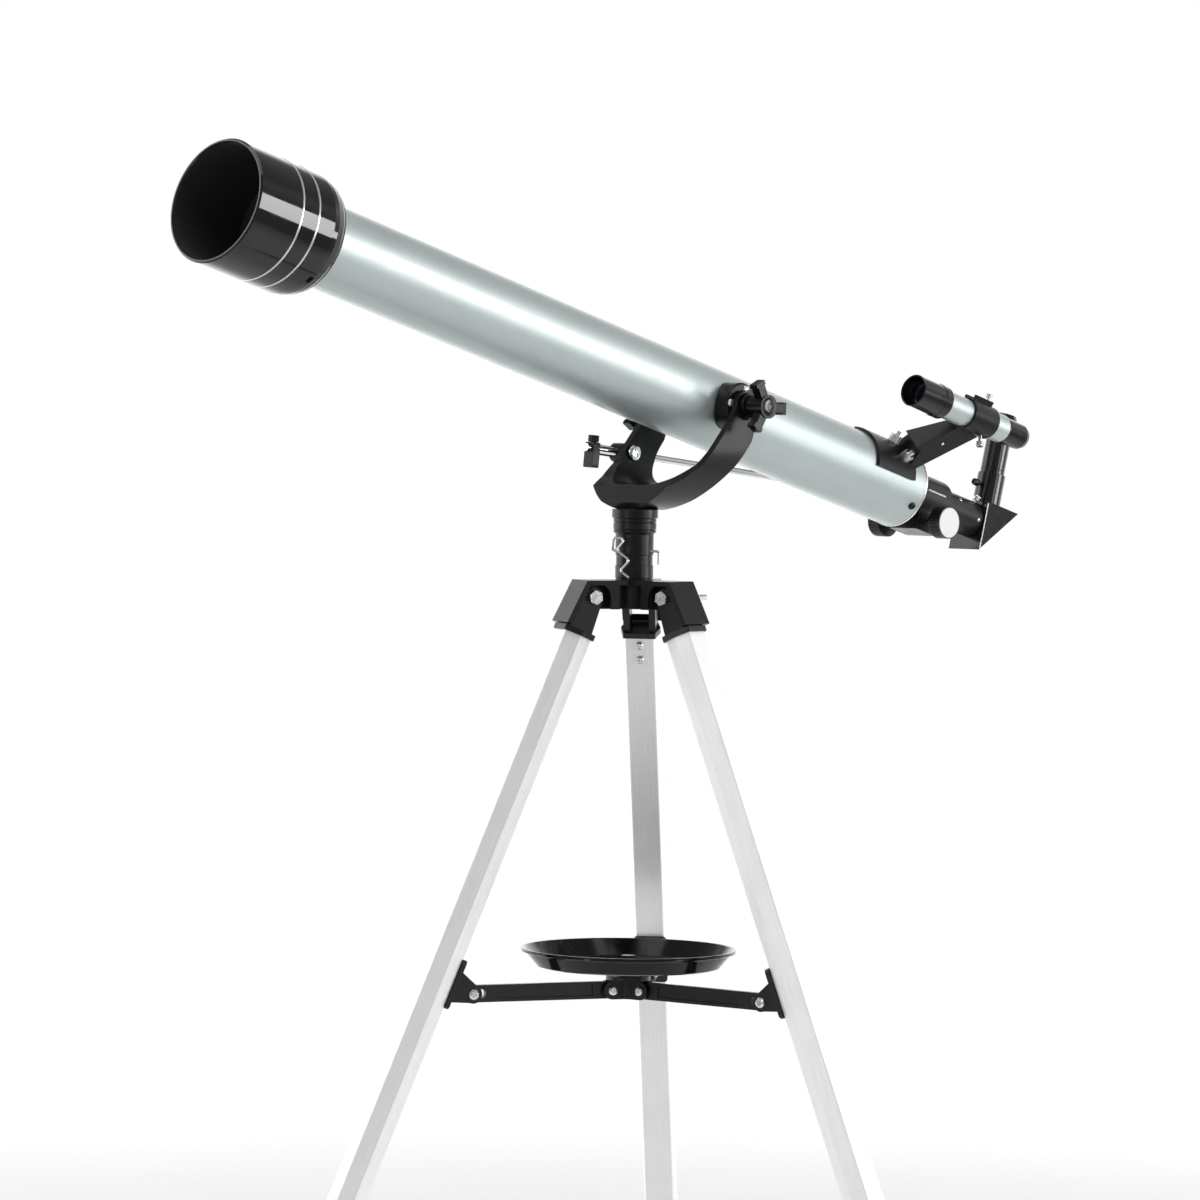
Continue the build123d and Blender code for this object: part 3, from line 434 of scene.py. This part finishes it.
def box_mesh(name, size, place):
    bm = bmesh.new()
    bmesh.ops.create_cube(bm, size=1.0, matrix=place @ Matrix.Diagonal((*size, 1)))
    mesh = bpy.data.meshes.new(name)
    bm.to_mesh(mesh)
    bm.free()
    return mesh


def spun(axis, at):
    """A frame whose +Y points along a direction, for turned shapes that stand on a face."""
    turn = Vector((0, 1, 0)).rotation_difference(Vector(axis)).to_matrix().to_4x4()
    return Matrix.Translation(Vector(at)) @ turn


def screw_head(name, radius, height, place, cross=True, turn=20.0):
    """A domed screw head standing on the local XZ plane, with a cross or a slot in it."""
    h = height
    outline = [
        (0.0, -0.3 * h), (radius, -0.3 * h), (radius, 0.25 * h), (0.93 * radius, 0.55 * h),
        (0.75 * radius, 0.8 * h), (0.45 * radius, 0.95 * h), (0.0, h),
    ]
    head = lathe(name, outline, 40, closed=False)
    lift = Matrix.Translation((0, h, 0)) @ Matrix.Rotation(radians(turn), 4, "Y")
    cutters = [box_mesh("slot", (1.15 * radius if cross else 2.4 * radius, 0.9 * h, 0.24 * radius), lift)]
    if cross:
        cutters.append(box_mesh("slot", (0.24 * radius, 0.9 * h, 1.15 * radius), lift))
    mesh = carve(head, cutters)
    mesh.transform(place)
    return mesh


def dome(name, radius, rise, place, depth=0.6, rings=10):
    """A shallow lens standing on the local XZ plane."""
    profile = [(0.0, -depth), (radius, -depth), (radius, 0.0)]
    for i in range(1, rings + 1):
        t = i / rings
        profile.append((radius * cos(t * pi / 2), rise * sin(t * pi / 2)))
    mesh = lathe(name, profile, 48, closed=False)
    mesh.transform(place)
    return mesh


# ---------------------------------------------------------------- optical tube details
shade_low, shade_high = extent("dew_shield", TUBE)
tube_low, tube_high = extent("main_tube", TUBE)
shade_radius = shade_high.x
RING_OFFSETS = {"shade_ring_front": 42.0, "shade_ring_rear": 58.0}     # back from the shade's front
for name, offset in RING_OFFSETS.items():
    y = shade_low.y + offset
    r = shade_radius
    outline = [
        (r - 0.4, y - 0.9), (r + 0.12, y - 0.8), (r + 0.28, y), (r + 0.12, y + 0.8), (r - 0.4, y + 0.9),
    ]
    band = lathe(name, outline, 128)
    add_piece(name, band, TUBE, ring_metal, "optical_tube")

rim_y = tube_high.y
rim_r = tube_high.x
rear_outline = [
    (rim_r - 1.1, rim_y - 0.3), (rim_r + 0.15, rim_y - 1.6), (rim_r + 0.3, rim_y - 0.7),
    (rim_r + 0.1, rim_y + 0.25), (rim_r - 1.1, rim_y + 0.25),
]
rim = lathe("tube_rear_rim", rear_outline, 128)
add_piece("tube_rear_rim", rim, TUBE, bare_metal, "optical_tube")
front_y = tube_low.y
front_outline = [
    (rim_r - 0.2, front_y), (rim_r + 0.35, front_y + 0.2), (rim_r + 0.45, front_y + 0.9),
    (rim_r + 0.3, front_y + 1.6), (rim_r - 0.2, front_y + 1.8),
]
collar = lathe("tube_front_rim", front_outline, 128)
add_piece("tube_front_rim", collar, TUBE, bare_metal, "optical_tube")

glass_y = extent("objective_lenses", TUBE)[0].y
retainer_outline = [
    (26.5, glass_y + 0.6), (27.2, glass_y - 0.6), (29.6, glass_y - 0.8), (29.8, glass_y + 3.0),
    (27.0, glass_y + 3.0),
]
retainer = lathe("objective_ring", retainer_outline, 96)
add_piece("objective_ring", retainer, TUBE, matt_black, "optical_tube")

# ---------------------------------------------------------------- focuser, diagonal and finder details
knob_low, knob_high = extent("focus_knobs", TUBE)
knob_y = (knob_low.y + knob_high.y) / 2
knob_z = (knob_low.z + knob_high.z) / 2
knob_r = (knob_high.z - knob_low.z) / 2
for side in (-1, 1):
    hand = "left" if side > 0 else "right"
    place = spun((side, 0, 0), (side * knob_high.x, knob_y, knob_z))
    outline = [(0.0, -1.0), (knob_r - 0.9, -1.0), (knob_r - 0.7, 0.0), (knob_r - 1.1, 0.35), (0.0, 0.45)]
    face = lathe("face", outline, 64, place, closed=False)
    add_piece(f"focus_knob_face_{hand}", face, TUBE, white_face, "focus_pinion")

draw_high = extent("drawtube", TUBE)[1]
draw_r = draw_high.x


def on_barrel(angle, y, radius):
    """A frame on a tube's skin whose +Y points outwards; the angle runs from +X towards +Z."""
    out = Vector((cos(radians(angle)), 0, sin(radians(angle))))
    return spun(out, out * radius + Vector((0, y, 0)))


def thumb_screw(name, radius, height, place, ribs=16):
    """A small knurled grip with a dished top, standing on the local XZ plane."""
    outline = [
        (0.0, 0.0), (1.2, 0.0), (1.2, 0.4 * height), (radius - 0.3, 0.4 * height), (radius, 0.5 * height),
        (radius, 0.92 * height), (radius - 0.35, height), (0.6 * radius, height),
        (0.5 * radius, 0.9 * height), (0.0, 0.9 * height),
    ]
    grip = lathe(name, outline, 96, closed=False)
    for vertex in grip.vertices:
        wide = Vector((vertex.co.x, 0, vertex.co.z))
        if wide.length > 0.9 * radius:
            rib = 1 - 0.06 * (0.5 + 0.5 * cos(ribs * wide.angle(Vector((1, 0, 0)))))
            vertex.co.x *= rib
            vertex.co.z *= rib
    grip.transform(place)
    return grip


clamp = thumb_screw("clamp", 3.0, 6.0, on_barrel(64.0, draw_high.y - 5.0, draw_r - 0.1))
add_piece("diagonal_clamp_screw", clamp, TUBE, steel, "drawtube")
DRAWTUBE_SCREWS = ((38.0, 28.0), (-7.0, 5.0))     # angle, and distance from the drawtube's back end
for number, (angle, ahead) in enumerate(DRAWTUBE_SCREWS):
    y = draw_high.y - ahead
    head = screw_head("head", 1.5, 0.8, on_barrel(angle, y, draw_r))
    add_piece(f"drawtube_screw_{number}", head, TUBE, steel, "drawtube")
BARREL_RADIUS = 19.0
STRIP_ANGLE = 12.0
strip_y = extent("focuser_body", TUBE)[1].y - 21.0
strip_turn = Matrix.Rotation(radians(-STRIP_ANGLE), 4, "Y")
strip_place = strip_turn @ Matrix.Translation((BARREL_RADIUS - 0.1, strip_y, 0))
strip = box_mesh("strip", (1.1, 22.0, 1.4), strip_place)
add_piece("focuser_strip", strip, TUBE, ring_metal, "optical_tube")

erector_low, erector_high = extent("erecting_tube", TUBE)
socket_y = (erector_low.y + erector_high.y) / 2
socket = spun((0, -1, 0), (0, socket_y - 11.2, 31.0))
add_piece("erector_set_screw", thumb_screw("set", 2.9, 9.0, socket), TUBE, black_steel, "diagonal")

finder_out = (finder_axis - TUBE.translation) @ TUBE.to_3x3()
finder_out.y = 0
finder_out.normalize()
across = Vector((finder_out.z, 0, -finder_out.x))
rivet_at = finder_out * 56.3 + across * 8.4 + Vector((0, 233.0, 0))
rivet = dome("rivet", 1.3, 0.8, spun(across, rivet_at))
add_piece("stalk_rivet", rivet, TUBE, steel, "optical_tube")

side_x = extent("diagonal_body", TUBE)[1].x
edge_y = draw_high.y + 0.9
for hand, x in (("left", side_x), ("right", -side_x)):
    trim = box_mesh("trim", (0.8, 1.1, 38.0), Matrix.Translation((x, edge_y, -5.0)))
    add_piece(f"diagonal_edge_{hand}", trim, TUBE, ring_metal, "diagonal")

# ---------------------------------------------------------------- mount details
BOSS_SCREWS = ((-13.4, -1.0), (0.0, -13.4), (0.0, 13.4))
boss_x = extent("altitude_bosses", TUBE)[1].x + 0.1
for hand, side in (("left", 1), ("right", -1)):
    for number, (y, z) in enumerate(BOSS_SCREWS):
        place = spun((side, 0, 0), (side * boss_x, y, z))
        head = screw_head("boss", 3.1, 1.5, place, turn=15.0 + 40 * number)
        add_piece(f"boss_screw_{hand}_{number}", head, TUBE, steel, "optical_tube")
CAP_OUTLINE = [(0.0, -0.6), (7.2, -0.6), (7.2, 0.2), (6.4, 0.7), (3.0, 0.8), (2.4, 0.3), (0.0, 0.3)]
knob_x = extent("altitude_knob_left", YOKE)[1].x
for hand, side in (("left", 1), ("right", -1)):
    cap = lathe("cap", CAP_OUTLINE, 64, spun((side, 0, 0), (side * knob_x, 0, 0)), closed=False)
    knob = f"altitude_knob_{hand}"
    add_piece(f"altitude_knob_cap_{hand}", cap, YOKE, tube_black, knob)
tray_high = extent("accessory_tray", COLUMN)[1]
tray_r = tray_high.x
tray_z = tray_high.z
lip_outline = [
    (tray_r - 1.9, tray_z - 0.9), (tray_r + 0.1, tray_z - 1.1), (tray_r + 0.15, tray_z - 0.3),
    (tray_r - 0.5, tray_z + 0.25), (tray_r - 1.4, tray_z + 0.25), (tray_r - 1.9, tray_z - 0.2),
]
upright = Matrix.Rotation(radians(90), 4, "X")
lip = lathe("lip", lip_outline, 160, upright)
add_piece("tray_lip", lip, COLUMN, gloss_black, "brace_hub")
swivel_x = extent("rod_swivel_clamp", ROD)[1].x + 0.1
swivel = screw_head("swivel", 6.1, 2.0, spun((1, 0, 0), (swivel_x, 0, 0)), turn=35.0)
add_piece("swivel_screw", swivel, ROD, bare_metal, "rod_swivel")

# ---------------------------------------------------------------- floor and light
FLOOR_RADIUS = 1.7
FLOOR_FADE = 0.8
floor_bm = bmesh.new()
bmesh.ops.create_circle(floor_bm, cap_ends=True, segments=128, radius=FLOOR_RADIUS)
floor_mesh = bpy.data.meshes.new("floor")
floor_bm.to_mesh(floor_mesh)
floor_bm.free()
floor = bpy.data.objects.new("floor", floor_mesh)
scene.collection.objects.link(floor)
floor_shader = Shader("floor_white")
floor_cloud = floor_shader.ramp(floor_shader.noise(floor_shader.coords, 3.0), 0.3, 0.7, 0.99, 1.01)
floor_tone = floor_shader.vector("SCALE", (0.93, 0.93, 0.93), scale=floor_cloud)
floor_shader.link(floor_tone, floor_shader.bsdf.inputs["Base Color"])
floor_shader.bsdf.inputs["Roughness"].default_value = 0.9
floor_shader.bsdf.inputs["Specular IOR Level"].default_value = 0.1
from_middle = floor_shader.vector("LENGTH", floor_shader.coords)
see_through = floor_shader.ramp(from_middle, FLOOR_FADE, FLOOR_RADIUS, 1.0, 0.0)
floor_shader.link(see_through, floor_shader.bsdf.inputs["Alpha"])
floor_mesh.materials.append(floor_shader.material)

world = bpy.data.worlds.new("studio")
scene.world = world
world.use_nodes = True
tree = world.node_tree
background = tree.nodes["Background"]
direction = tree.nodes.new("ShaderNodeTexCoord").outputs["Generated"]


def toward(vector, low, high, to_low, to_high):
    """Brightness that rises smoothly with how far a direction points along a vector."""
    dot = tree.nodes.new("ShaderNodeVectorMath")
    dot.operation = "DOT_PRODUCT"
    tree.links.new(direction, dot.inputs[0])
    dot.inputs[1].default_value = vector
    ramp = tree.nodes.new("ShaderNodeMapRange")
    ramp.interpolation_type = "SMOOTHSTEP"
    tree.links.new(dot.outputs["Value"], ramp.inputs["Value"])
    for socket, number in zip(RAMP_SOCKETS, (low, high, to_low, to_high)):
        ramp.inputs[socket].default_value = number
    return ramp.outputs["Result"]


behind = toward((-0.693, 0.72, 0.0), 0.0, 0.7, 0.0, 1.0)
below_top = toward((0.0, 0.0, 1.0), 0.32, 0.5, 1.0, 0.0)
wall = tree.nodes.new("ShaderNodeMath")
wall.operation = "MULTIPLY"
tree.links.new(behind, wall.inputs[0])
tree.links.new(below_top, wall.inputs[1])
scaled = tree.nodes.new("ShaderNodeMath")
scaled.operation = "MULTIPLY_ADD"
tree.links.new(wall.outputs[0], scaled.inputs[0])
scaled.inputs[1].default_value = 1.4
scaled.inputs[2].default_value = 0.3
studio = scaled.outputs[0]
is_camera = tree.nodes.new("ShaderNodeLightPath").outputs["Is Camera Ray"]
strength = tree.nodes.new("ShaderNodeMix")
strength.data_type = "FLOAT"
tree.links.new(is_camera, strength.inputs[0])
tree.links.new(studio, strength.inputs[2])
strength.inputs[3].default_value = 1.0
tree.links.new(strength.outputs[0], background.inputs["Strength"])
background.inputs["Color"].default_value = (1.0, 1.0, 1.0, 1.0)


def softbox(name, at, toward_point, width, height, radiance):
    """A rectangular area light that faces a point."""
    data = bpy.data.lights.new(name, "AREA")
    data.shape = "RECTANGLE"
    data.size = width
    data.size_y = height
    data.energy = radiance * pi * width * height
    light = bpy.data.objects.new(name, data)
    scene.collection.objects.link(light)
    light.location = at
    light.rotation_mode = "QUATERNION"
    light.rotation_quaternion = (Vector(toward_point) - Vector(at)).to_track_quat("-Z", "Y")
    return light


middle = Vector((0.0, -0.1, 0.8))
shade_middle = Vector(joints["altitude"]["pos_m"]) - 0.47 * Vector(joints["focus"]["axis"])
key_way = Vector((0.736, 0.676, 0.033))
softbox("key", shade_middle + key_way * 3.0, shade_middle, 1.0, 1.05, 10.2)
softbox("top", middle + Vector((0.2, -0.2, 2.6)), middle, 2.6, 2.6, 1.8)
softbox("left", middle + Vector((-2.6, -1.6, 0.3)), middle, 1.8, 2.2, 2.5)
softbox("front", middle + Vector((0.6, -3.2, 1.0)), middle, 1.6, 1.6, 1.1)
softbox("right_strip", middle + Vector((2.92, 0.6, -0.1)), middle, 0.45, 1.8, 4.5)
softbox("left_strip", middle + Vector((-0.1, -2.9, -0.1)), middle, 0.22, 1.8, 6.0)

scene.view_settings.view_transform = "Standard"
scene.view_settings.look = "None"
scene.view_settings.exposure = 0.0
